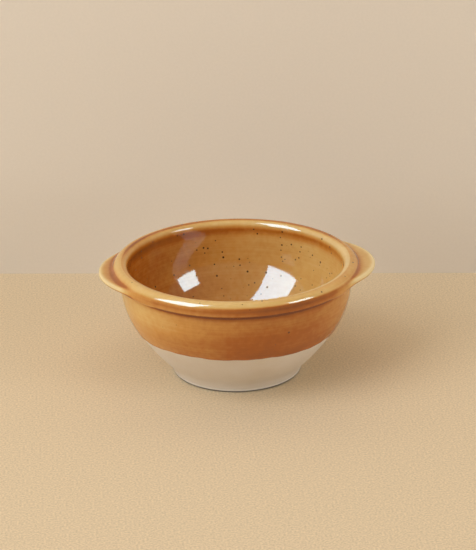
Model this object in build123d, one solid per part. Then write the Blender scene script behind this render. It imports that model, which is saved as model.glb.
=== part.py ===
from build123d import *
import os
from math import cos, hypot, radians, sin, sqrt, tan

# Lug soup bowl in stoneware, in millimetres.
# The origin is the middle of the foot on the table, +Z is up, and the lugs lie along X.
# Clay sizes are of the bare clay. The glaze goes on top of them.

# Bowl
BOWL_HEIGHT = 67.0            # table to the crest of the rim
WALL_RADIUS = 66.2            # outside of the wall where it stands upright
WALL_THICKNESS = 3.8          # wall at its upright stretch
UPRIGHT_BELOW_RIM = 11.0      # crest down to where the wall begins to curve in
WALL_LEAN = 45.6              # degrees from upright at which the wall leaves the foot

# Rolled rim
BEAD_PROJECTION = 3.4         # how far the rolled rim stands out from the wall
BEAD_DEPTH = 7.6              # crest down to the underside of the rolled rim
RIM_INNER_ROUND = 2.8
RIM_OUTER_ROUND = 3.2
BEAD_UNDER_ROUND = 1.5
GROOVE_ROUND = 0.9            # hollow where the underside of the rolled rim meets the wall

# Foot and floor
FOOT_RADIUS = 37.0            # outside of the foot at the table
FOOT_FLARE = 2.6              # how much wider the foot is at its top
FOOT_HEIGHT = 6.0
FOOT_BLEND_ROUND = 16.0       # hollow in which the wall runs into the foot
FOOT_RING_WIDTH = 5.0         # ring that the bowl stands on
FOOT_RECESS = 3.0             # hollow inside the foot ring
FOOT_EDGE_ROUND = 1.3
RECESS_ROUND = 1.5
FLOOR_THICKNESS = 5.0
FLOOR_INSET = 21.6            # top of the foot in to the edge of the flat floor inside

# Lugs
LEFT_LUG_REACH = 8.6          # tip beyond the rolled rim
RIGHT_LUG_REACH = 10.6        # the two lugs were set by hand, and this one stands further out
LUG_TIP_RADIUS = 40.0         # arc of the tip, seen from above
LUG_BLEND_RADIUS = 26.0       # hollow arc from the tip into the rolled rim
LUG_SINK = 0.6                # how far that hollow arc runs into the rolled rim
LUG_DROP = 3.9                # crest down to the top of the lug beside the rolled rim
LUG_TILT = 1.5                # degrees at which a lug rises from the rolled rim to its tip
LUG_THICKNESS = 2.4           # beside the rolled rim, from where it thins to the tip
LUG_TIP_THICKNESS = 1.6
LUG_EDGE_ROUND = 0.7

# Glaze
GLAZE_THICKNESS = 0.4
DIP_LINE_HEIGHT = 30.0        # table to the lower edge of the outside glaze

# Sizes that follow
bead_radius = WALL_RADIUS + BEAD_PROJECTION
inner_radius = WALL_RADIUS - WALL_THICKNESS
crest_radius = (inner_radius + bead_radius) / 2
upright_height = BOWL_HEIGHT - UPRIGHT_BELOW_RIM
foot_top_radius = FOOT_RADIUS + FOOT_FLARE
recess_radius = FOOT_RADIUS - FOOT_RING_WIDTH
floor_height = FOOT_RECESS + FLOOR_THICKNESS
lug_top = BOWL_HEIGHT - LUG_DROP
root_radius = WALL_RADIUS - WALL_THICKNESS / 2
BEYOND = 20.0                 # how far a cutting shape runs past what it cuts


def limited(radius, wall):
    """A corner radius that leaves some of the wall straight."""
    return min(radius, 0.45 * wall)


def two_arcs(start, start_direction, end, end_direction):
    """A smooth run of two arcs between two points with given directions."""
    start, end = Vector(*start), Vector(*end)
    leave, arrive = Vector(*start_direction), Vector(*end_direction)
    chord = end - start
    a = 2 * (1 - leave.dot(arrive))
    b = 2 * chord.dot(leave + arrive)
    reach = (sqrt(b * b + 4 * a * chord.dot(chord)) - b) / (2 * a)
    middle = (start + leave * reach + end - arrive * reach) * 0.5
    first = TangentArc(start, middle, tangent=leave)
    return [first, TangentArc(middle, end, tangent=first % 1)]


def rounded(face, corners):
    """The face with each corner (r, z) rounded to its radius."""
    for r, z, radius in corners:
        corner = min(face.vertices(), key=lambda v: hypot(v.X - r, v.Y - z))
        face = fillet(corner, radius)
    return face


def bowl_section():
    """Half section of the clay bowl: r across, z up."""
    lean = radians(WALL_LEAN)
    bead_bottom = BOWL_HEIGHT - BEAD_DEPTH
    floor_edge = foot_top_radius - FLOOR_INSET
    outside = two_arcs((foot_top_radius, FOOT_HEIGHT), (sin(lean), cos(lean)),
                       (WALL_RADIUS, upright_height), (0, 1))
    inside = two_arcs((floor_edge, floor_height), (1, 0), (inner_radius, upright_height), (0, 1))
    underside = Polyline((0, floor_height), (0, FOOT_RECESS), (recess_radius, FOOT_RECESS),
                         (recess_radius, 0), (FOOT_RADIUS, 0), (foot_top_radius, FOOT_HEIGHT))
    rim = Polyline((WALL_RADIUS, upright_height), (WALL_RADIUS, bead_bottom), (bead_radius, bead_bottom),
                   (bead_radius, BOWL_HEIGHT), (inner_radius, BOWL_HEIGHT), (inner_radius, upright_height))
    floor = Line((0, floor_height), (floor_edge, floor_height))
    rim_width = WALL_THICKNESS + BEAD_PROJECTION
    return rounded(make_face([underside, *outside, rim, *inside, floor]), [
        (recess_radius, FOOT_RECESS, limited(RECESS_ROUND, FOOT_RECESS)),
        (recess_radius, 0, limited(FOOT_EDGE_ROUND, FOOT_RECESS)),
        (FOOT_RADIUS, 0, limited(FOOT_EDGE_ROUND, FOOT_RECESS)),
        (foot_top_radius, FOOT_HEIGHT, limited(FOOT_BLEND_ROUND, 6 * FOOT_HEIGHT)),
        (WALL_RADIUS, bead_bottom, limited(GROOVE_ROUND, BEAD_PROJECTION / 2)),
        (bead_radius, bead_bottom, limited(BEAD_UNDER_ROUND, 1.5 * BEAD_PROJECTION)),
        (bead_radius, BOWL_HEIGHT, limited(RIM_OUTER_ROUND, rim_width)),
        (inner_radius, BOWL_HEIGHT, limited(RIM_INNER_ROUND, rim_width)),
    ])


def turned(section):
    """A section swept once round the bowl's axis, with its seam midway between the lugs."""
    return revolve(Plane.YZ * section, Axis.Z)


def area(r_low, z_low, r_high, z_high):
    """A rectangle in the half section."""
    return Pos((r_low + r_high) / 2, (z_low + z_high) / 2) * Rectangle(r_high - r_low, z_high - z_low)


def glaze_sections(clay):
    """Half sections of the lining and of the outside coat, which meet on the crest of the rim."""
    far, high = bead_radius + BEYOND, BOWL_HEIGHT + BEYOND
    skin = (offset(clay, GLAZE_THICKNESS) - clay) & area(0, 0, far, high)
    within_crest = skin & area(0, floor_height, crest_radius, high)
    lining = min(within_crest.faces(), key=lambda f: f.bounding_box().min.X)
    above_dip = (skin & area(0, DIP_LINE_HEIGHT, far, high)) - lining
    coat = max(above_dip.faces(), key=lambda f: f.bounding_box().max.X)
    return Sketch() + lining, Sketch() + coat


def lug_outline(reach, grow):
    """A lug at +X seen from above: a round tip that runs in hollow arcs into the rolled rim."""
    rim = bead_radius - LUG_SINK + grow
    tip = LUG_TIP_RADIUS + grow
    blend = LUG_BLEND_RADIUS - grow
    tip_centre = Vector(bead_radius + reach - LUG_TIP_RADIUS, 0)
    x = ((rim + blend) ** 2 - (tip + blend) ** 2 + tip_centre.X ** 2) / (2 * tip_centre.X)
    blend_centre = Vector(x, sqrt((rim + blend) ** 2 - x * x))
    leave = tip_centre + (blend_centre - tip_centre).normalized() * tip
    arrive = blend_centre.normalized() * rim
    middle = blend_centre - (blend_centre - (leave + arrive) * 0.5).normalized() * blend
    root = blend_centre.normalized() * root_radius
    side = [ThreePointArc(leave, middle, arrive), Line(arrive, root)]
    ends = [ThreePointArc(leave, (tip_centre.X + tip, 0), (leave.X, -leave.Y)),
            ThreePointArc(root, (root_radius, 0), (root.X, -root.Y))]
    return make_face(side + [mirror(edge, about=Plane.XZ) for edge in side] + ends)


def lug_blank(reach, grow):
    """A lug before its root is cut to the bowl, larger all round by grow."""
    slope = tan(radians(LUG_TILT))
    taper = (LUG_THICKNESS - LUG_TIP_THICKNESS) / reach

    def faces_at(r):
        """Heights of the lug's underside and top at a distance from the bowl's axis."""
        top = lug_top + slope * (r - bead_radius)
        return top - LUG_THICKNESS + taper * (r - bead_radius) - grow, top + grow

    far = bead_radius + reach + LUG_TIP_THICKNESS  # a little past the tip
    root_low, root_high = faces_at(root_radius)
    far_low, far_high = faces_at(far)
    layer = make_face(Polyline((root_radius, root_low), (far, far_low), (far, far_high),
                               (root_radius, root_high), close=True))
    blank = turned(layer) & extrude(lug_outline(reach, grow), BOWL_HEIGHT)
    clear_of_root = bead_radius - LUG_SINK - GLAZE_THICKNESS
    rim_edges = [e for e in blank.edges() if hypot((e @ 0.5).X, (e @ 0.5).Y) > clear_of_root
                 and abs((e % 0.5).Z) < 0.5]
    return fillet(rim_edges, limited(LUG_EDGE_ROUND, LUG_TIP_THICKNESS) + grow)


def lug_blanks(grow):
    """The right lug, and the left one turned half round the bowl."""
    return lug_blank(RIGHT_LUG_REACH, grow), Rot(Z=180) * lug_blank(LEFT_LUG_REACH, grow)


clay_section = bowl_section()
lining_section, coat_section = glaze_sections(clay_section)
bowl_body = turned(clay_section)
bare_blanks = lug_blanks(0)
lug_right, lug_left = [blank - bowl_body for blank in bare_blanks]
glaze_lining = turned(lining_section)
glaze_coat = turned(coat_section) + lug_blanks(GLAZE_THICKNESS) - bare_blanks - bowl_body

pieces = {
    "bowl_body": bowl_body,
    "lug_left": lug_left,
    "lug_right": lug_right,
    "glaze_lining": glaze_lining,
    "glaze_coat": glaze_coat,
}
os.makedirs("parts", exist_ok=True)
for name, shape in pieces.items():
    export_step(shape, f"parts/{name}.step")
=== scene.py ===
"""Stoneware lug soup bowl: its glaze as one modelled skin, its finishes, and a plain studio round it."""
from math import atan2, cos, hypot, pi, radians, sin, sqrt, tan, tau

import bpy
import numpy as np
from mathutils import Matrix, Vector


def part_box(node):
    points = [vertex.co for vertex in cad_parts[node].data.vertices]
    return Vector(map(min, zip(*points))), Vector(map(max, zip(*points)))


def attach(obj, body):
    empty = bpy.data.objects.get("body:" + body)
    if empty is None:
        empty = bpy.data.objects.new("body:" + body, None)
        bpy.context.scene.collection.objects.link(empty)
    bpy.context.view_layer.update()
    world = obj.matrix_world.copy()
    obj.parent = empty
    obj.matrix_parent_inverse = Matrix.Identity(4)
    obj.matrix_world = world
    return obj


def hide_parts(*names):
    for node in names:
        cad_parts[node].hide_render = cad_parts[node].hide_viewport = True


bl_info = {
    "name": "Lug soup bowl",
    "version": (1, 0, 0),
    "blender": (4, 5, 0),
    "location": "View3D > Sidebar > Soup bowl",
    "description": "Glazes a lug soup bowl over its clay and sets it in a plain studio",
    "category": "Object",
}

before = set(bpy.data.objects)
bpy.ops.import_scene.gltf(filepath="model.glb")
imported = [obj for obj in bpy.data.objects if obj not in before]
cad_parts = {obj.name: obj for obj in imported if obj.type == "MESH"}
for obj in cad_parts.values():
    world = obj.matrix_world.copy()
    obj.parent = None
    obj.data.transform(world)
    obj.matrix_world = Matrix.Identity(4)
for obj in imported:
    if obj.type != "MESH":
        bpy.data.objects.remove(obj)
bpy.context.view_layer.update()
MM = 0.001

# The clay and the glaze as the frame has them
clay_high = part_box("bowl_body")[1]
lining_low, lining_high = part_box("glaze_lining")
CREST = clay_high.z
BEAD_RADIUS = clay_high.y
FLOOR = lining_low.z
GLAZE = lining_high.z - CREST
DIP_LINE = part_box("glaze_coat")[0].z
LEFT_TIP = -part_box("lug_left")[0].x
RIGHT_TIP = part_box("lug_right")[1].x

# The glaze as a mesh
COLUMNS = 128
RIM_POINTS = 44            # loops over the outside of the rim, which the lugs are drawn out of
CLAY_RIM_POINTS = 22       # the same on the side that lies on the clay
RIM_RAYS = 600             # rays on which the rolled rim and a lug are joined in one half section
LUG_STEPS = 24
LUG_SPAN = radians(50)     # angle to each side of a lug's middle that it may reach
LUG_FADE = radians(20)     # turn over which a lug's underside runs back into the rolled rim
LEAST_LUG = 0.5 * MM       # how far past the flat of the crest a lug has to reach to show
SAME_COLUMN = 1e-5         # radians within which vertices are of one column
COVE_REACH = (-1.6 * MM, 4.0 * MM)  # beyond the rolled rim's side, where a cove is softened

# The lower edge of the glaze
EDGE_TURNS = (0.35, 0.8, 1.25)      # radians round the edge at which it has points
EDGE_BULGE = 0.6                    # how far it stands down, as a share of the glaze's thickness
DIP_FOLLOW = 4.0 * MM               # how far from the edge the glaze follows its straying
# The waves in which it strays: how many go round the bowl, their share and where they start
DIP_WAVES = ((3, 1.0, 1.1), (8, 0.7, 0.4), (19, 0.5, 2.3), (37, 0.35, 0.9))

# How the glaze flowed
POOL_WIDTH = 1.2 * MM      # how far glaze levels itself along the surface
POOL_GAIN = 2.0 * MM       # curvature radius at which the glaze is as thin or as deep as it gets
SHADED_FRONT = radians(-72)     # side of the bowl, at the front, where the outside is painted darker as shade
SHADED_FRONT_WIDTH = radians(55)

# Where it lies deeper: a soft band's middle and width, or where a change begins and is complete
LIP_POOL = (5.0 * MM, 3.0 * MM)         # down from the crest: band under the lip inside
SIDE_TOP = (1.2 * MM, 2.8 * MM)         # down from the crest: the rolled rim's side turns brown, partly as painted shade
SIDE_STRIPE = (3.8 * MM, 5.8 * MM)      # down from the crest: it turns a little lighter again
SIDE_END = (2.4 * MM, 0.8 * MM)         # down from the rolled rim's underside: that brown ends
LOWER_ROUND_HANG_AND_SHADE = (-0.9 * MM, 1.3 * MM)     # down from the underside: band on the rolled rim's lower round, darkened partly for glaze hanging there, partly as painted shade
LOWER_ROUND_INSET = 3.0 * MM            # in from the rolled rim's side: where that band ends
GROOVE_POOL_AND_SHADOW = (-0.1 * MM, 1.5 * MM)     # down from the underside: band in the groove, of pooled glaze and a painted shadow under the rim
GROOVE_EDGE = (0.38 * MM, -0.3 * MM)    # out from the rolled rim's side: where the groove's pool and painted shadow begin
BEAD_END = 0.4 * MM                     # out from the side: where the hollow beside a lug begins
LEFT_COVE, RIGHT_COVE = 3.4 * MM, 1.8 * MM  # out from the side: where the brown of that hollow ends, further out on the left as painted shade
CREST_TOP = (1.6 * MM, 0.8 * MM)        # down from the crest: its top begins
RIM_LINE = (-4.4 * MM, 1.3 * MM)        # out from the side: band along the crest behind
LUG_ROOT = (0.6 * MM, 1.6 * MM)         # out from the side: a lug begins
PALE_LUG = (0.8 * MM, 2.4 * MM)         # out from the side: the right lug's top turns paler
WALL_TOP = (0.5 * MM, 3.0 * MM)         # down from the underside: the wall begins
LINING_INSET = 4.0 * MM                 # in from the side: the lining begins
SPECKLED_CREST = 3.0 * MM               # down from the crest: specks of the rim end


def colour(code):
    """An sRGB hex colour as a linear one with full alpha."""
    parts = [int(code[i:i + 2], 16) / 255 for i in (1, 3, 5)]
    return tuple(p / 12.92 if p <= 0.04045 else ((p + 0.055) / 1.055) ** 2.4 for p in parts) + (1.0,)


def length(name, description, default):
    """A size that the sidebar shows in length units."""
    return bpy.props.FloatProperty(name=name, description=description, default=default, min=0.0,
                                   unit="LENGTH", precision=5)


def turn(name, description, degrees):
    """An angle that the sidebar shows in degrees."""
    return bpy.props.FloatProperty(name=name, description=description, default=radians(degrees),
                                   unit="ROTATION")


def tint(name, description, code):
    """A colour that the sidebar shows as a swatch."""
    return bpy.props.FloatVectorProperty(name=name, description=description, default=colour(code), size=4,
                                         min=0.0, max=1.0, subtype="COLOR")


class BowlSizes(bpy.types.PropertyGroup):
    """Sizes of the clay that the glaze lies on, and of the glaze."""
    wall_radius: length("Wall radius", "Outside of the clay wall where it stands upright", 66.2 * MM)
    wall_thickness: length("Wall thickness", "Clay wall at its upright stretch", 3.8 * MM)
    upright_below_rim: length("Upright below rim", "Crest down to where the wall curves in", 11.0 * MM)
    wall_lean: turn("Wall lean", "Angle from upright at which the wall leaves the foot", 45.6)
    bead_depth: length("Bead depth", "Crest down to the underside of the rolled rim", 7.6 * MM)
    rim_inner_round: length("Rim inner round", "Radius of the rim's inner edge", 2.8 * MM)
    rim_outer_round: length("Rim outer round", "Radius of the rim's outer edge", 3.2 * MM)
    bead_under_round: length("Bead under round", "Radius of the rolled rim's lower edge", 1.5 * MM)
    groove_round: length("Groove round", "Hollow under the rolled rim, softened by pooled glaze", 1.3 * MM)
    foot_top_radius: length("Foot top radius", "Where the wall leaves the foot", 39.6 * MM)
    foot_height: length("Foot height", "Table up to where the wall leaves the foot", 6.0 * MM)
    floor_edge: length("Floor edge", "Radius of the flat floor inside", 18.0 * MM)
    lug_tip_radius: length("Lug tip radius", "Arc of a lug's tip from above", 40.0 * MM)
    lug_blend_radius: length("Lug blend radius", "Hollow arc from a lug's tip into the rim", 60.0 * MM)
    lug_sink: length("Lug sink", "How far that hollow arc runs into the rim", 0.6 * MM)
    lug_drop: length("Lug drop", "Crest down to a lug's top beside the rim", 3.9 * MM)
    lug_tilt: turn("Lug tilt", "Angle at which a lug rises to its tip", 1.5)
    lug_thickness: length("Lug thickness", "Clay of a lug beside the rim", 2.4 * MM)
    lug_tip_thickness: length("Lug tip thickness", "Clay of a lug at its tip", 1.6 * MM)
    lug_edge_round: length("Lug edge round", "Radius of a lug's edge", 0.7 * MM)
    lug_cove: length("Lug cove", "Softness of the hollow between a lug and the rim", 4.0 * MM)
    dip_wave: length("Dip wave", "How far the lower edge of the glaze strays", 0.22 * MM)


class BowlColours(bpy.types.PropertyGroup):
    """Colours of the glaze, the clay and the studio."""
    glaze_thin: tint("Thin glaze", "Cream, where glaze runs off an edge", "#E6CC96")
    glaze_light: tint("Light glaze", "Straw, where the coat is thinner than usual", "#D8AF68")
    glaze_even: tint("Even glaze", "Amber, where the coat is even", "#C98D42")
    glaze_deep: tint("Deep glaze", "Brown, where the coat is thicker", "#A75A14")
    glaze_pool: tint("Pooled glaze", "Red brown, where glaze gathers in a hollow", "#783B13")
    iron_speck: tint("Iron speck", "Iron grains that broke through the glaze", "#2E1A0D")
    clay: tint("Clay", "Bare fired clay", "#DCD3C7")
    clay_warm: tint("Warm clay", "Clay that the fire flushed a little", "#CFBFA9")
    # Painted light on the foot: a pale painted highlight along its edge, and a dark painted contact shadow
    # where it meets the table
    foot_edge_highlight: tint("Wiped clay", "Pale, where the foot's edge was wiped", "#ECE6DC")
    foot_contact_shadow: tint("Foot wear", "Dull brown, where the foot rubs on tables", "#2E2114")
    table: tint("Table", "Plain pale table", "#DCC5A2")
    backdrop: tint("Backdrop", "Plain pale backdrop", "#D8CBB9")
    room: tint("Room", "Pale room that the glaze mirrors", "#F1E6D8")


class StudioSizes(bpy.types.PropertyGroup):
    """Where the camera, the softboxes and the backdrop stand round the bowl."""
    bowl_turn: turn("Bowl turn", "How far the bowl is turned before the camera", 5.5)
    camera_distance: length("Camera distance", "Camera to the bowl's axis, along the table", 961.6 * MM)
    camera_height: length("Camera height", "Camera above the table", 438.1 * MM)
    camera_aside: length("Camera aside", "Camera to the right of the bowl's axis", 1.3 * MM)
    camera_pitch: turn("Camera pitch", "How far the camera looks down", 21.62)
    camera_roll: turn("Camera roll", "How far the picture leans", 0.9)
    camera_lens: bpy.props.FloatProperty(name="Camera lens", default=117.8, min=1.0, unit="CAMERA",
                                         description="Focal length on a sensor 36 mm wide")
    table_size: length("Table size", "Side of the square table", 6.0)
    backdrop_size: length("Backdrop size", "Side of the square backdrop", 2.4)
    backdrop_distance: length("Backdrop distance", "Bowl's axis to the backdrop", 147.0 * MM)
    backdrop_turn: turn("Backdrop turn", "How far the backdrop is turned from square", -2.2)
    softbox_distance: length("Softbox distance", "Bowl to each softbox", 1200.0 * MM)
    softbox_gloss: bpy.props.FloatProperty(name="Softbox gloss", default=13.6, min=0.0,
                                           description="How bright a softbox shows in the glaze")


def add_node(tree, kind, inputs=(), stops=(), **settings):
    """One node with its settings, its inputs set or linked and, on a ramp, its stops."""
    node = tree.nodes.new(kind)
    for name, value in settings.items():
        setattr(node, name, value)
    for socket, value in dict(inputs).items():
        if isinstance(value, bpy.types.NodeSocket):
            tree.links.new(value, node.inputs[socket])
        else:
            node.inputs[socket].default_value = value
    for place, (position, value) in enumerate(stops):
        ramp = node.color_ramp.elements
        stop = ramp[place] if place < len(ramp) else ramp.new(position)
        stop.position = position
        stop.color = value
    return node


def new_material(name):
    """An empty node material, and its tree."""
    material = bpy.data.materials.new(name)
    material.use_nodes = True
    material.node_tree.nodes.clear()
    return material, material.node_tree


def finish_material(tree, shader):
    """Joins a shader to the material's output."""
    add_node(tree, "ShaderNodeOutputMaterial", {"Surface": shader})


def millimetres(tree):
    """Object coordinates in millimetres."""
    place = add_node(tree, "ShaderNodeTexCoord")
    return add_node(tree, "ShaderNodeVectorMath", {0: place.outputs["Object"], 1: (1000.0,) * 3},
                    operation="MULTIPLY").outputs[0]


def glaze_body(tree, place, colours):
    """The glaze's colour by its depth, painted shade and light included, with clouds, mottle and the rings
    that the turning left.
    """
    cloud_width, mottle_width, ring_spacing = 26.0, 3.2, 1.4  # millimetres
    flattened = add_node(tree, "ShaderNodeVectorMath", {0: place, 1: (1.0, 1.0, 2.4)}, operation="MULTIPLY")
    height = add_node(tree, "ShaderNodeSeparateXYZ", {0: place}).outputs["Z"]
    clouds = add_node(tree, "ShaderNodeTexNoise", {
        "Vector": flattened.outputs[0], "Scale": 1 / cloud_width, "Detail": 2.0})
    mottle = add_node(tree, "ShaderNodeTexNoise", {"Vector": place, "Scale": 1 / mottle_width, "Detail": 4.0})
    rings = add_node(tree, "ShaderNodeTexNoise", {"W": height, "Scale": 1 / ring_spacing, "Detail": 3.0},
                     noise_dimensions="1D")
    depth = add_node(tree, "ShaderNodeAttribute", attribute_name="glaze_depth").outputs["Fac"]
    for pattern, share in ((clouds, 0.42), (mottle, 0.36), (rings, 0.17)):
        depth = add_node(tree, "ShaderNodeMath", {0: pattern.outputs["Fac"], 1: share, 2: depth},
                         operation="MULTIPLY_ADD").outputs[0]
    coat = add_node(tree, "ShaderNodeMapRange", {"Value": depth, "From Min": -0.52, "From Max": 1.48})
    body = add_node(tree, "ShaderNodeValToRGB", {"Fac": coat.outputs[0]},
                    stops=[(0.0, colours.glaze_thin), (0.27, colours.glaze_light), (0.5, colours.glaze_even),
                           (0.72, colours.glaze_deep), (1.0, colours.glaze_pool)])
    return body.outputs["Color"]


def iron_specks(tree, place):
    """How strongly iron shows: in specks up to 1.6 mm across, in some of the cells of a scatter."""
    cell = 3.8  # millimetres
    speckled = add_node(tree, "ShaderNodeAttribute", attribute_name="speckled")
    cells = add_node(tree, "ShaderNodeTexVoronoi", {"Vector": place, "Scale": 1 / cell})
    chance = add_node(tree, "ShaderNodeSeparateColor", {0: cells.outputs["Color"]})
    radius = add_node(tree, "ShaderNodeMapRange", {
        "Value": chance.outputs["Green"], "To Min": 0.10, "To Max": 0.19})
    inside = add_node(tree, "ShaderNodeMath", {0: radius.outputs[0], 1: cells.outputs["Distance"]},
                      operation="SUBTRACT")
    spot = add_node(tree, "ShaderNodeMapRange", {
        "Value": inside.outputs[0], "From Min": -0.02, "From Max": 0.05}, interpolation_type="SMOOTHSTEP")
    kept = add_node(tree, "ShaderNodeMath", {0: chance.outputs["Red"], 1: speckled.outputs["Fac"]},
                    operation="LESS_THAN")
    strength = add_node(tree, "ShaderNodeMapRange", {
        "Value": chance.outputs["Blue"], "To Min": 0.82, "To Max": 1.0})
    iron = add_node(tree, "ShaderNodeMath", {0: spot.outputs[0], 1: kept.outputs[0]}, operation="MULTIPLY")
    return add_node(tree, "ShaderNodeMath", {0: iron.outputs[0], 1: strength.outputs[0]},
                    operation="MULTIPLY").outputs[0]


def amber_glaze(colours):
    """Iron glaze on stoneware, dipped and fired glossy: cream where it ran off, red brown where it pooled,
    with painted shade and light drawn into it in places.
    """
    material, tree = new_material("amber_glaze")
    place = millimetres(tree)
    iron = iron_specks(tree, place)
    stained = add_node(tree, "ShaderNodeMix", {"Factor": iron, "A": glaze_body(tree, place, colours),
                                               "B": colours.iron_speck}, data_type="RGBA")

    # A glassy skin that is nearly level, with a slow wobble, and dull metal where iron came through
    wobble_width = 7.0  # millimetres
    rough = add_node(tree, "ShaderNodeMapRange", {"Value": iron, "To Min": 0.06, "To Max": 0.4})
    metal = add_node(tree, "ShaderNodeMapRange", {"Value": iron, "From Min": 0.6, "From Max": 0.9})
    wobble = add_node(tree, "ShaderNodeTexNoise", {"Vector": place, "Scale": 1 / wobble_width, "Detail": 1.0})
    bump = add_node(tree, "ShaderNodeBump", {
        "Height": wobble.outputs["Fac"], "Strength": 0.1, "Distance": 0.05 * MM})
    shader = add_node(tree, "ShaderNodeBsdfPrincipled", {
        "Base Color": stained.outputs["Result"], "Roughness": rough.outputs[0], "Metallic": metal.outputs[0],
        "IOR": 1.6, "Normal": bump.outputs[0]})
    finish_material(tree, shader.outputs[0])
    return material


def bare_stoneware(colours):
    """Pale stoneware, turned and sponged, then fired bare: satin, with fine grain and faint turning lines."""
    flush_width, grain_width, line_spacing = 18.0, 0.5, 0.7  # millimetres
    highlight_from, highlight_to, shadow_from, shadow_to = 2.8, 1.8, 1.3, 0.7  # millimetres above the table
    material, tree = new_material("bare_stoneware")
    place = millimetres(tree)
    height = add_node(tree, "ShaderNodeSeparateXYZ", {0: place}).outputs["Z"]
    flush = add_node(tree, "ShaderNodeTexNoise", {"Vector": place, "Scale": 1 / flush_width, "Detail": 3.0})
    grain = add_node(tree, "ShaderNodeTexNoise", {"Vector": place, "Scale": 1 / grain_width, "Detail": 3.0})
    lines = add_node(tree, "ShaderNodeTexNoise", {"W": height, "Scale": 1 / line_spacing, "Detail": 2.0},
                     noise_dimensions="1D")
    base = add_node(tree, "ShaderNodeMix", {"Factor": flush.outputs["Fac"], "A": colours.clay,
                                            "B": colours.clay_warm}, data_type="RGBA")
    shade = add_node(tree, "ShaderNodeMapRange", {
        "Value": grain.outputs["Fac"], "From Min": 0.3, "From Max": 0.7, "To Min": 0.96, "To Max": 1.03})
    tinted = add_node(tree, "ShaderNodeVectorMath", {0: base.outputs["Result"], "Scale": shade.outputs[0]},
                      operation="SCALE").outputs[0]

    # The foot's edge: a painted highlight along its round, and a painted contact shadow where it meets the
    # table
    for start, end, share, mark in ((highlight_from, highlight_to, 0.6, colours.foot_edge_highlight),
                                    (shadow_from, shadow_to, 0.9, colours.foot_contact_shadow)):
        marked = add_node(tree, "ShaderNodeMapRange", {"Value": height, "From Min": start, "From Max": end,
                                                       "To Max": share}, interpolation_type="SMOOTHSTEP")
        tinted = add_node(tree, "ShaderNodeMix", {"Factor": marked.outputs[0], "A": tinted, "B": mark},
                          data_type="RGBA").outputs["Result"]
    relief = add_node(tree, "ShaderNodeMath", {0: lines.outputs["Fac"], 1: 0.6, 2: grain.outputs["Fac"]},
                      operation="MULTIPLY_ADD")
    bump = add_node(tree, "ShaderNodeBump", {
        "Height": relief.outputs[0], "Strength": 0.35, "Distance": 0.05 * MM})
    shader = add_node(tree, "ShaderNodeBsdfPrincipled", {
        "Base Color": tinted, "Roughness": 0.5, "IOR": 1.5, "Normal": bump.outputs[0]})
    finish_material(tree, shader.outputs[0])
    return material


def plain_paper(name, tone, grain_width, contrast):
    """Matt paper with a fine even grain, its width in millimetres: the material, its tree and its shader."""
    material, tree = new_material(name)
    place = millimetres(tree)
    grain = add_node(tree, "ShaderNodeTexNoise", {"Vector": place, "Scale": 1 / grain_width, "Detail": 3.0})
    shade = add_node(tree, "ShaderNodeMapRange", {
        "Value": grain.outputs["Fac"], "From Min": 0.3, "From Max": 0.7,
        "To Min": 1 - contrast, "To Max": 1 + contrast})
    tinted = add_node(tree, "ShaderNodeVectorMath", {0: tone[:3], "Scale": shade.outputs[0]},
                      operation="SCALE")
    shader = add_node(tree, "ShaderNodeBsdfPrincipled", {
        "Base Color": tinted.outputs[0], "Roughness": 0.9, "Specular IOR Level": 0.2})
    return material, tree, shader


def arc(start, direction, end, steps):
    """Points after start, to end, on the circle that leaves start in that direction."""
    start, end, direction = Vector(start), Vector(end), Vector(direction).normalized()
    side = Vector((-direction.y, direction.x))
    chord = end - start
    radius = chord.dot(chord) / (2 * chord.dot(side))
    swept = 2 * atan2(chord.dot(side), chord.dot(direction))
    centre = start + side * radius
    return [centre + Matrix.Rotation(swept * i / steps, 2) @ (start - centre) for i in range(1, steps + 1)]


def line(start, end, steps):
    """Points after start, to end, in a straight run."""
    start, end = Vector(start), Vector(end)
    return [start.lerp(end, i / steps) for i in range(1, steps + 1)]


def arcs_joint(start, leave, end, arrive):
    """Where two arcs meet smoothly between two points with given directions."""
    start, leave, end, arrive = Vector(start), Vector(leave), Vector(end), Vector(arrive)
    chord = end - start
    a = 2 * (1 - leave.dot(arrive))
    b = 2 * chord.dot(leave + arrive)
    reach = (sqrt(b * b + 4 * a * chord.dot(chord)) - b) / (2 * a)
    return (start + leave * reach + end - arrive * reach) / 2


def inside_section(sizes):
    """Clay under the lining: the middle of the floor up to the flat of the crest."""
    inner = sizes.wall_radius - sizes.wall_thickness
    upright = CREST - sizes.upright_below_rim
    lip = CREST - sizes.rim_inner_round
    edge = (sizes.floor_edge, FLOOR)
    joint = arcs_joint(edge, (1, 0), (inner, upright), (0, 1))
    points = [Vector((0, FLOOR))] + line((0, FLOOR), edge, steps=4)
    points += arc(edge, (1, 0), joint, steps=8)
    upper = arc((inner, upright), (0, -1), joint, steps=8)
    points += upper[-2::-1] + [Vector((inner, upright))]
    points += line((inner, upright), (inner, lip), steps=4)
    points += arc((inner, lip), (0, 1), (inner + sizes.rim_inner_round, CREST), steps=5)
    return points


def rim_section(sizes, grow):
    """Outside of the rolled rim, larger by grow: the flat of the crest down to its underside."""
    crest, outer, under = CREST + grow, BEAD_RADIUS + grow, CREST - sizes.bead_depth - grow
    top, low = sizes.rim_outer_round + grow, sizes.bead_under_round + grow
    points = [Vector((outer - top, crest))]
    points += arc(points[-1], (1, 0), (outer, crest - top), steps=12)
    points += line(points[-1], (outer, under + low), steps=12)
    points += arc(points[-1], (0, -1), (outer - low, under), steps=12)
    return points


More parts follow.
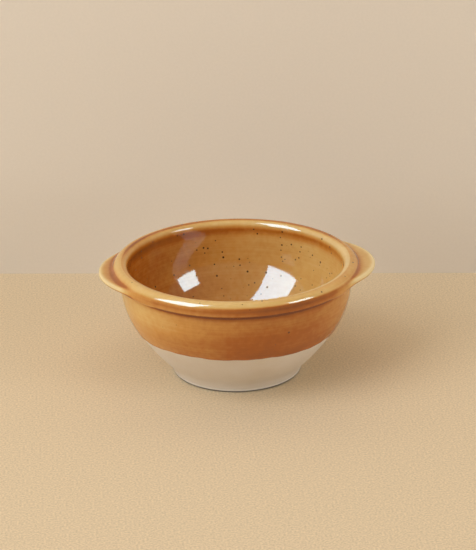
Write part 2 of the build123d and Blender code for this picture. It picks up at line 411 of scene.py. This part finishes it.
def outside_section(sizes):
    """Clay under the coat: the underside of the rolled rim down to the dip line."""
    under = CREST - sizes.bead_depth
    groove = sizes.groove_round
    upright = CREST - sizes.upright_below_rim
    lean = (sin(sizes.wall_lean), cos(sizes.wall_lean))
    start = (sizes.wall_radius, upright)
    foot = (sizes.foot_top_radius, sizes.foot_height)
    chord = arcs_joint(foot, lean, start, (0, 1)) - Vector(start)
    bend = chord.dot(chord) / (-2 * chord.x)
    drop = upright - DIP_LINE
    dip = (sizes.wall_radius - bend + sqrt(bend ** 2 - drop ** 2), DIP_LINE)
    points = [Vector((sizes.wall_radius + groove, under))]
    points += arc(points[-1], (-1, 0), (sizes.wall_radius, under - groove), steps=5)
    points += line(points[-1], start, steps=2)
    points += arc(start, (0, -1), dip, steps=14)
    return points


def offset(points, grow):
    """The run moved out to the left of its way by grow."""
    moved = []
    for i, point in enumerate(points):
        along = (points[min(i + 1, len(points) - 1)] - points[max(i - 1, 0)]).normalized()
        moved.append(point + Vector((-along.y, along.x)) * grow)
    return moved


def lug_tip(sizes, tip, angle, grow):
    """How far out a lug reaches at an angle from its middle, seen from above."""
    angle = abs(angle)
    rim = BEAD_RADIUS - sizes.lug_sink + grow
    round_tip = sizes.lug_tip_radius + grow
    hollow = sizes.lug_blend_radius - grow
    middle = tip - sizes.lug_tip_radius
    x = ((rim + hollow) ** 2 - (round_tip + hollow) ** 2 + middle ** 2) / (2 * middle)
    y = sqrt((rim + hollow) ** 2 - x * x)
    ends = atan2(y, x)
    leave = Vector((middle, 0)) + (Vector((x, y)) - Vector((middle, 0))).normalized() * round_tip
    if angle <= atan2(leave.y, leave.x):
        return middle * cos(angle) + sqrt(round_tip ** 2 - (middle * sin(angle)) ** 2)
    if angle <= ends:
        far = rim + hollow
        return far * cos(ends - angle) - sqrt(hollow ** 2 - (far * sin(ends - angle)) ** 2)
    return rim - (rim * (angle - ends)) ** 2 / hollow


def lug_section(sizes, tip, reach, lengthen, start, grow):
    """A lug in one half section, from its top over its edge to its underside."""
    rise = tan(sizes.lug_tilt)
    taper = (sizes.lug_thickness - sizes.lug_tip_thickness) / (tip - BEAD_RADIUS)

    def top(r):
        return CREST - sizes.lug_drop + rise * (r - BEAD_RADIUS) + grow

    def underside(r):
        return top(r) - sizes.lug_thickness + taper * (r - BEAD_RADIUS) - 2 * grow

    flat = max(reach - (sizes.lug_edge_round + grow) * lengthen, start)
    middle, half = (top(flat) + underside(flat)) / 2, (top(flat) - underside(flat)) / 2
    steps = [i / LUG_STEPS for i in range(LUG_STEPS + 1)]
    along = [start + (flat - start) * s for s in steps]
    outline = [(r, top(r)) for r in along]
    outline += [(flat + (reach - flat) * sin(s * pi), middle + half * cos(s * pi)) for s in steps]
    outline += [(r, underside(r)) for r in along[::-1]]
    return [Vector(place) for place in outline]


def seen_from(middle, points, turns):
    """Distance of a convex run of points from middle at each turn, by interpolation."""
    offsets = [p - middle for p in points]
    angles = np.array([atan2(o.y, o.x) for o in offsets])
    order = np.argsort(angles)
    return np.interp(turns, angles[order], np.array([o.length for o in offsets])[order])


def rim_side(sizes, grow, count, angle=None, tip=0.0):
    """The rolled rim's outside in one half section as evenly spaced points, drawn out into the lug there."""
    plain = rim_section(sizes, grow)
    middle = Vector((plain[0].x, CREST - sizes.lug_drop - sizes.lug_thickness / 2))
    last = plain[-1] - middle
    turns = np.linspace(pi / 2, atan2(last.y, last.x), RIM_RAYS)
    reach = seen_from(middle, plain, turns)
    out = 0.0 if angle is None else lug_tip(sizes, tip, angle, grow)
    if out > middle.x + LEAST_LUG:
        step = radians(0.5)
        ahead, back = [lug_tip(sizes, tip, angle + turned, grow) for turned in (step, -step)]
        slope = (ahead - back) / (2 * step)
        outline = lug_section(sizes, tip, out, hypot(1, slope / out), middle.x, grow)
        lug = seen_from(middle, outline, turns)
        near = np.clip(1 - np.abs(reach - lug) / sizes.lug_cove, 0, 1)
        both = np.maximum(reach, lug) + near ** 2 * sizes.lug_cove / 4
        reach = reach + (both - reach) * np.clip((turns - turns[-1]) / LUG_FADE, 0, 1)
    points = np.stack([middle.x + reach * np.cos(turns), middle.y + reach * np.sin(turns)], axis=1)
    run = np.concatenate([[0], np.cumsum(np.hypot(*np.diff(points, axis=0).T))])
    even = np.linspace(0, run[-1], count)
    return np.stack([np.interp(even, run, points[:, 0]), np.interp(even, run, points[:, 1])], axis=1)


def skin_section(sizes):
    """The skin's half section in runs: over its surface to its lower edge, and back along the clay."""
    inside, outside = inside_section(sizes), outside_section(sizes)
    dip = outside[-1]
    along = (dip - outside[-2]).normalized()
    out = Vector((-along.y, along.x))
    runs = {
        "inside": offset(inside, GLAZE),
        "rim": rim_side(sizes, GLAZE, RIM_POINTS),
        "outside": offset(outside, GLAZE),
        "edge": [dip + out * (GLAZE * cos(a)) + along * (GLAZE * EDGE_BULGE * sin(a)) for a in EDGE_TURNS],
        "outside_clay": outside[::-1],
        "rim_clay": rim_side(sizes, 0.0, CLAY_RIM_POINTS)[::-1],
        "inside_clay": inside[::-1],
    }
    return {name: np.array([tuple(point) for point in run]) for name, run in runs.items()}


def bends(run):
    """How hollow (above 0) or sharp (below 0) a section is at each point, as curvature averaged nearby."""
    steps = np.diff(run, axis=0)
    along = np.concatenate([[0], np.cumsum(np.hypot(*steps.T))])
    turning = np.diff(np.unwrap(np.arctan2(steps[:, 1], steps[:, 0])))
    apart = along[:, None] - along[None, 1:-1]
    near = np.exp(-(apart / POOL_WIDTH) ** 2 / 2) / (POOL_WIDTH * sqrt(tau))
    return near @ turning


def eased(values, start, end):
    """A smooth rise from 0 at start to 1 at end."""
    part = np.clip((values - start) / (end - start), 0, 1)
    return part * part * (3 - 2 * part)


def band(values, middle, width):
    """A soft band: 1 at its middle, fading out to both sides by its width."""
    return np.exp(-((values - middle) / width) ** 2)


def turned_from(angle, ahead):
    """How far an angle is turned from another, from minus to plus half a turn."""
    return (angle - ahead + pi) % tau - pi


def choose(piece):
    """Deselects all and makes one object the active, selected one."""
    bpy.ops.object.select_all(action="DESELECT")
    piece.select_set(True)
    bpy.context.view_layer.objects.active = piece


def apply_modifier(piece, kind, **settings):
    """Adds a modifier with its settings and applies it."""
    modifier = piece.modifiers.new(kind.lower(), kind)
    for name, value in settings.items():
        setattr(modifier, name, value)
    choose(piece)
    bpy.ops.object.modifier_apply(modifier=modifier.name)


def spun(name, section, columns):
    """A section drawn by extruding one vertex from point to point, then spun once round the bowl's axis."""
    bpy.ops.object.select_all(action="DESELECT")
    bpy.ops.mesh.primitive_plane_add(size=MM, location=(0, 0, 0))
    piece = bpy.context.object
    piece.name = piece.data.name = name
    bpy.ops.object.mode_set(mode="EDIT")
    bpy.ops.mesh.merge(type="CENTER")
    here = Vector((0, 0, 0))
    for index, (r, z) in enumerate(section):
        step = Vector((r, 0, z)) - here
        if index == 0:
            bpy.ops.transform.translate(value=step)
        else:
            bpy.ops.mesh.extrude_region_move(TRANSFORM_OT_translate={"value": step})
        here = Vector((r, 0, z))
    bpy.ops.mesh.select_all(action="SELECT")
    bpy.ops.mesh.spin(steps=columns, angle=tau, center=(0, 0, 0), axis=(0, 0, 1))
    bpy.ops.mesh.select_all(action="SELECT")
    bpy.ops.mesh.remove_doubles(threshold=0.001 * MM)
    bpy.ops.mesh.normals_make_consistent(inside=False)
    bpy.ops.object.mode_set(mode="OBJECT")
    return piece


def get_vectors(mesh, name):
    """The places (co) or the normals (normal) of the mesh's vertices as an array."""
    values = np.zeros(len(mesh.vertices) * 3)
    mesh.vertices.foreach_get(name, values)
    return values.reshape(-1, 3)


def set_places(mesh, places):
    """Moves the mesh's vertices to the places of an array."""
    mesh.vertices.foreach_set("co", places.ravel())
    mesh.update()


def store(mesh, name, values):
    """Keeps one number for each vertex as an attribute."""
    attribute = mesh.attributes.get(name) or mesh.attributes.new(name, "FLOAT", "POINT")
    attribute.data.foreach_set("value", values.astype(np.float32))


class SOUPBOWL_OT_glaze(bpy.types.Operator):
    """Models lining and coat as one closed skin: turned, drawn out over the lugs and cut at the dip line"""
    bl_idname = "soup_bowl.glaze"
    bl_label = "Glaze"

    def execute(self, context):
        sizes = context.scene.soup_bowl_sizes
        runs = skin_section(sizes)
        skin = spun("glaze_skin", np.concatenate(list(runs.values())), COLUMNS)
        self.draw_out_lugs(skin.data, sizes, runs)
        apply_modifier(skin, "SUBSURF", levels=1, render_levels=1)
        self.stray_edge(skin.data, sizes)
        self.soften_coves(skin, sizes)
        self.mark_glaze(skin.data, sizes)
        choose(skin)
        bpy.ops.object.shade_smooth()
        skin.data.materials.clear()
        skin.data.materials.append(amber_glaze(context.scene.soup_bowl_colours))
        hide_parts("glaze_lining", "glaze_coat")
        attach(skin, "root")
        return {"FINISHED"}

    def draw_out_lugs(self, mesh, sizes, runs):
        """Draws the rim's loops out into the lugs, and stores how hollow the surface is at each vertex."""
        section = np.concatenate(list(runs.values()))
        starts = dict(zip(runs, np.cumsum([0] + [len(run) for run in runs.values()])))
        surface = np.concatenate([runs["inside"], runs["rim"], runs["outside"]])

        # Each vertex knows its place along the section by its distance from the axis and its height
        places = get_vectors(mesh, "co")
        radius, angle = np.hypot(places[:, 0], places[:, 1]), np.arctan2(places[:, 1], places[:, 0])
        row = np.array([np.argmin((section[:, 0] - r) ** 2 + (section[:, 1] - z) ** 2)
                        for r, z in zip(radius, places[:, 2])])
        depth = np.append(bends(surface), np.zeros(len(section) - len(surface)))[row]
        for name, way, grow in (("rim", 1, GLAZE), ("rim_clay", -1, 0.0)):
            start, count = starts[name], len(runs[name])
            for tip, ahead in ((RIGHT_TIP, 0.0), (LEFT_TIP, pi)):
                away = turned_from(angle, ahead)
                chosen = np.flatnonzero((row >= start) & (row < start + count) & (np.abs(away) < LUG_SPAN))
                for turned in np.unique(np.round(away[chosen], 6)):
                    drawn = rim_side(sizes, grow, count, float(turned), tip)[::way]
                    column = chosen[np.abs(away[chosen] - turned) < SAME_COLUMN]
                    reach, height = drawn[row[column] - start].T
                    places[column, 0] = reach * np.cos(angle[column])
                    places[column, 1] = reach * np.sin(angle[column])
                    places[column, 2] = height
                    if name == "rim":
                        run = np.concatenate([runs["inside"], drawn, runs["outside"]])
                        depth[column] = bends(run)[row[column]]
        set_places(mesh, places)
        store(mesh, "glaze_depth", np.clip(depth * POOL_GAIN, -1, 1))

    def stray_edge(self, mesh, sizes):
        """Lets the lower edge stray a little, with the glaze outside just above it."""
        places = get_vectors(mesh, "co")
        angle, height = np.arctan2(places[:, 1], places[:, 0]), places[:, 2]
        stray = sum(share * np.sin(count * angle + start) for count, share, start in DIP_WAVES)
        follow = np.clip(1 - np.abs(height - DIP_LINE) / DIP_FOLLOW, 0, 1)
        inside, outside = np.array(inside_section(sizes)), np.array(outside_section(sizes)[::-1])
        inner_wall = np.interp(height, inside[:, 1], inside[:, 0])
        outer_wall = np.interp(height, outside[:, 1], outside[:, 0])
        outer = np.hypot(places[:, 0], places[:, 1]) > (inner_wall + outer_wall) / 2
        places[:, 2] += sizes.dip_wave * stray * follow * outer
        set_places(mesh, places)

    def soften_coves(self, skin, sizes):
        """Lets the glaze level itself in the hollow between the rolled rim and each lug."""
        places = get_vectors(skin.data, "co")
        radius, height = np.hypot(places[:, 0], places[:, 1]), places[:, 2]
        beside_lug = np.abs(places[:, 0]) > radius * cos(LUG_SPAN)
        top = height > CREST - sizes.lug_drop - GLAZE
        near = (radius > BEAD_RADIUS + COVE_REACH[0]) & (radius < BEAD_RADIUS + COVE_REACH[1])
        coves = skin.vertex_groups.new(name="coves")
        coves.add(np.flatnonzero(beside_lug & top & near).tolist(), 1.0, "REPLACE")
        apply_modifier(skin, "SMOOTH", factor=0.5, iterations=6, vertex_group="coves")

    def mark_glaze(self, mesh, sizes):
        """Stores how deep the glaze lies, from -1 thin over 0 even to 1 pooled, with painted shade and light
        drawn in as depth, and how speckled it is.
        """
        x, y, height = get_vectors(mesh, "co").T
        normal_x, normal_y, normal_z = get_vectors(mesh, "normal").T
        radius, angle = np.hypot(x, y), np.arctan2(y, x)
        down, out, right = CREST - height, radius - BEAD_RADIUS, x / BEAD_RADIUS
        depth = np.zeros(len(x), np.float32)
        mesh.attributes["glaze_depth"].data.foreach_get("value", depth)

        # Inside, it gathered under the lip, and the level floor counts as inside. The inside is also painted
        # darker towards the left, as shade where its own rim hides it from the light, and lighter towards the
        # right, as painted light
        inner = (out < -LINING_INSET) & (normal_x * x + normal_y * y < 0.02 * radius + 0.01 * MM)
        outer = ~inner
        gathered = (0.56 + 0.3 * np.maximum(right, 0)) * band(down, *LIP_POOL)
        # Painted shade on the left of the inside, and painted light on its right
        depth += np.where(inner, gathered - 0.08 - 0.52 * right, 0)

        # Outside, it ran off the crest, over the side of the rolled rim and into the groove under it. Its
        # side and lower round are also painted darker as shade, and the groove holds a painted shadow, most
        # towards the front
        below = down - sizes.bead_depth
        # Painted shade: the outside is drawn darker towards the front
        shaded_front = band(turned_from(angle, SHADED_FRONT), 0, SHADED_FRONT_WIDTH)
        # The brown reaches further out beside the left lug as painted shade
        on_bead = eased(out, np.where(x > 0, RIGHT_COVE, LEFT_COVE), BEAD_END) * outer
        # The rim's upright side is drawn brown partly as painted shade
        side = eased(down, *SIDE_TOP) * eased(below, *SIDE_END) * (1 - 0.25 * eased(down, *SIDE_STRIPE))
        # The lower round is darkened partly for glaze hanging there, partly as painted shade where it faces
        # down
        lower_round_hang_and_shade = band(below, *LOWER_ROUND_HANG_AND_SHADE) * (out > -LOWER_ROUND_INSET)
        # The groove holds pooled glaze and a painted shadow under the rolled rim
        groove = band(below, *GROOVE_POOL_AND_SHADOW) * eased(out, *GROOVE_EDGE) * outer
        depth += on_bead * (side * (0.38 + 0.62 * shaded_front ** 2) + 0.36 * lower_round_hang_and_shade)
        depth += groove * (0.85 + 0.35 * shaded_front)

        # On the crest the colour is drawn darker along a line behind, and towards the right
        behind = eased(np.sin(angle), 0.0, 0.5)
        depth += eased(down, *CREST_TOP) * (0.85 * behind * band(out, *RIM_LINE) + 0.3 * np.maximum(right, 0))

        # It pooled under the lugs, whose downward faces are also painted darker as shade, and it stays
        # lighter on top of them, most on the right one
        # Downward faces by the lugs: glaze hanging there, and painted shade
        depth += 1.3 * eased(out, *LUG_ROOT) * eased(normal_z, 0.1, -0.6)
        lug_top = outer & (down < sizes.lug_drop + GLAZE) & (np.abs(x) > radius * cos(LUG_SPAN))
        depth = np.where(lug_top, np.minimum(depth, 0.55), depth)
        depth -= 0.34 * lug_top * (x > 0) * eased(out, *PALE_LUG)

        # Down the wall the colour deepens towards the dip line, and most at the front, where it is painted
        # shade
        low = eased(height, CREST - sizes.bead_depth, DIP_LINE) * outer
        wall = eased(below, *WALL_TOP) * outer
        depth += wall * (0.42 * low - 0.42 + shaded_front * (0.8 - 0.2 * low))
        store(mesh, "glaze_depth", depth)

        # Specks lie thickest inside on the right, and along the crest behind
        crowd = np.clip(0.5 + (x + 0.6 * y) / (2 * BEAD_RADIUS), 0, 1)
        speckled = np.where(inner, 0.1 + 0.75 * crowd, 0.05)
        speckled = np.where(down < SPECKLED_CREST, 0.28 + 0.3 * behind * outer, speckled)
        store(mesh, "speckled", speckled)


class SOUPBOWL_OT_clay(bpy.types.Operator):
    """Gives the clay bowl and its two lugs their finish"""
    bl_idname = "soup_bowl.clay"
    bl_label = "Clay"

    def execute(self, context):
        clay = bare_stoneware(context.scene.soup_bowl_colours)
        for name in ("bowl_body", "lug_left", "lug_right"):
            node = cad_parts[name]
            node.data.materials.clear()
            node.data.materials.append(clay)
        return {"FINISHED"}


class SOUPBOWL_OT_studio(bpy.types.Operator):
    """Sets up the table, the backdrop, the lights, the room and the camera"""
    bl_idname = "soup_bowl.studio"
    bl_label = "Studio"

    def execute(self, context):
        studio, colours = context.scene.soup_bowl_studio, context.scene.soup_bowl_colours
        facing = Matrix.Rotation(-studio.bowl_turn, 4, "Z")
        self.surfaces(studio, colours, facing)
        self.lights(studio, facing)
        self.camera(studio, facing)
        self.room(context.scene, colours)
        context.scene.view_settings.view_transform = "Standard"
        return {"FINISHED"}

    def surfaces(self, studio, colours, facing):
        """A plain table, and a plain backdrop that shows its front only, so it hides nothing from behind."""
        bpy.ops.object.select_all(action="DESELECT")
        bpy.ops.mesh.primitive_plane_add(size=studio.table_size)
        table = bpy.context.object
        table.name = "table"
        paper, tree, shader = plain_paper("table_paper", colours.table, grain_width=1.1, contrast=0.16)
        finish_material(tree, shader.outputs[0])
        table.data.materials.append(paper)

        bpy.ops.object.select_all(action="DESELECT")
        bpy.ops.mesh.primitive_plane_add(size=studio.backdrop_size)
        backdrop = bpy.context.object
        backdrop.name = "backdrop"
        paper, tree, shader = plain_paper("backdrop_paper", colours.backdrop, grain_width=1.5, contrast=0.015)
        side = add_node(tree, "ShaderNodeNewGeometry")
        clear = add_node(tree, "ShaderNodeBsdfTransparent")
        mix = add_node(tree, "ShaderNodeMixShader", {0: side.outputs["Backfacing"], 1: shader.outputs[0],
                                                     2: clear.outputs[0]})
        finish_material(tree, mix.outputs[0])
        backdrop.data.materials.append(paper)
        place = Matrix.Translation((0, studio.backdrop_distance, studio.backdrop_size / 2))
        turned = Matrix.Rotation(studio.backdrop_turn, 4, "Z")
        upright = Matrix.Rotation(pi / 2, 4, "X")
        backdrop.matrix_world = facing @ place @ turned @ upright

    def lights(self, studio, facing):
        """A softbox and a low white board at each side, a lamp overhead in front and one on the backdrop."""
        # Name, degrees round from the front, height of the middle, degrees of lean, width, height, watts
        # and the colour of the cloth
        for name, azimuth, middle, lean, width, tall, power, cloth in (
                ("softbox_left", -57, 1.17, 14.6, 0.97, 1.77, 16.4, "#C2E8FF"),
                ("softbox_right", 61, 0.6, 0.0, 0.53, 0.485, 3.2, "#DCF8FF")):
            place = facing @ self.stand(studio, azimuth, middle, lean)
            self.lamp(name, place, width, tall, power)
            front = place @ Matrix.Diagonal((width, tall, 1, 1))
            self.softbox_front(name, front, cloth, studio.softbox_gloss)
        for name, azimuth, power in (("board_left", -62, 2.6), ("board_right", 58, 3.2)):
            place = facing @ self.stand(studio, azimuth, middle=0.15, lean=0.0)
            self.lamp(name, place, width=0.9, tall=0.3, power=power)
        overhead = facing @ Matrix.Translation((0, -0.35, 1.15))
        self.lamp("lamp_overhead", overhead, width=1.0, tall=0.8, power=2.8)
        towards_backdrop = Matrix.Rotation(radians(100), 4, "X")
        above_bowl = facing @ Matrix.Translation((0.3, -0.05, 0.62)) @ towards_backdrop
        self.lamp("backdrop_light", above_bowl, width=1.4, tall=0.12, power=1.75)

    def stand(self, studio, azimuth, middle, lean):
        """A panel's place at a side of the bowl: facing it at a height, with its top leaning over it."""
        away = Matrix.Rotation(radians(azimuth), 3, "Z") @ Vector((0, -1, 0))
        upright = away.to_track_quat("Z", "Y").to_matrix().to_4x4()
        place = Matrix.Translation(away * studio.softbox_distance + Vector((0, 0, middle)))
        return place @ upright @ Matrix.Rotation(radians(-lean), 4, "X")

    def lamp(self, name, place, width, tall, power):
        """A soft rectangular lamp that reflections don't see."""
        bpy.ops.object.light_add(type="AREA")
        lamp = bpy.context.object
        lamp.name = name
        lamp.data.shape = "RECTANGLE"
        lamp.data.size, lamp.data.size_y = width, tall
        lamp.data.energy = power
        lamp.visible_glossy = lamp.visible_camera = False
        lamp.matrix_world = place

    def softbox_front(self, name, place, cloth, gloss):
        """The bright cloth of a softbox, which only reflections see."""
        bpy.ops.mesh.primitive_plane_add(size=1.0)
        front = bpy.context.object
        front.name = name + "_front"
        front.matrix_world = place
        material, tree = new_material("softbox_cloth")
        glow = add_node(tree, "ShaderNodeEmission", {"Color": colour(cloth), "Strength": gloss})
        finish_material(tree, glow.outputs[0])
        front.data.materials.append(material)
        front.visible_camera = front.visible_diffuse = front.visible_shadow = False

    def camera(self, studio, facing):
        """The camera, looking down at the bowl with a long lens."""
        bpy.ops.object.camera_add()
        camera = bpy.context.object
        camera.name = "camera"
        camera.data.sensor_width = 36.0
        camera.data.lens = studio.camera_lens
        stand = Matrix.Translation((studio.camera_aside, -studio.camera_distance, studio.camera_height))
        pitch = Matrix.Rotation(pi / 2 - studio.camera_pitch, 4, "X")
        roll = Matrix.Rotation(-studio.camera_roll, 4, "Z")
        camera.matrix_world = facing @ stand @ pitch @ roll
        bpy.context.scene.camera = camera

    def room(self, scene, colours):
        """A pale room that lights the bowl a little and shows more in the gloss of the glaze."""
        scene.world = bpy.data.worlds.new("studio_room")
        scene.world.use_nodes = True
        tree = scene.world.node_tree
        tree.nodes.clear()
        rays = add_node(tree, "ShaderNodeLightPath")
        level = add_node(tree, "ShaderNodeMapRange", {
            "Value": rays.outputs["Is Glossy Ray"], "To Min": 0.08, "To Max": 0.42})
        room = add_node(tree, "ShaderNodeBackground", {"Color": colours.room, "Strength": level.outputs[0]})
        add_node(tree, "ShaderNodeOutputWorld", {"Surface": room.outputs[0]})


class SOUPBOWL_PT_sidebar(bpy.types.Panel):
    """Lists the bowl's steps and sizes"""
    bl_idname = "SOUPBOWL_PT_sidebar"
    bl_label = "Lug soup bowl"
    bl_space_type = "VIEW_3D"
    bl_region_type = "UI"
    bl_category = "Soup bowl"

    def draw(self, context):
        for step in STEPS:
            self.layout.operator(step.bl_idname)
        for group_name in GROUPS:
            group = getattr(context.scene, group_name)
            box = self.layout.box()
            for name in group.bl_rna.properties.keys():
                if name not in ("rna_type", "name"):
                    box.prop(group, name)


GROUPS = {"soup_bowl_sizes": BowlSizes, "soup_bowl_colours": BowlColours, "soup_bowl_studio": StudioSizes}
STEPS = (SOUPBOWL_OT_clay, SOUPBOWL_OT_glaze, SOUPBOWL_OT_studio)


def register():
    """Adds the sizes, the steps and the sidebar."""
    for name, group in GROUPS.items():
        bpy.utils.register_class(group)
        setattr(bpy.types.Scene, name, bpy.props.PointerProperty(type=group))
    for step in STEPS + (SOUPBOWL_PT_sidebar,):
        bpy.utils.register_class(step)


def unregister():
    """Takes the sidebar, the steps and the sizes away again."""
    for step in STEPS + (SOUPBOWL_PT_sidebar,):
        bpy.utils.unregister_class(step)
    for name, group in GROUPS.items():
        delattr(bpy.types.Scene, name)
        bpy.utils.unregister_class(group)


def main():
    """Runs the steps in order."""
    register()
    bpy.ops.soup_bowl.clay()
    bpy.ops.soup_bowl.glaze()
    bpy.ops.soup_bowl.studio()


if __name__ == "__main__":
    main()
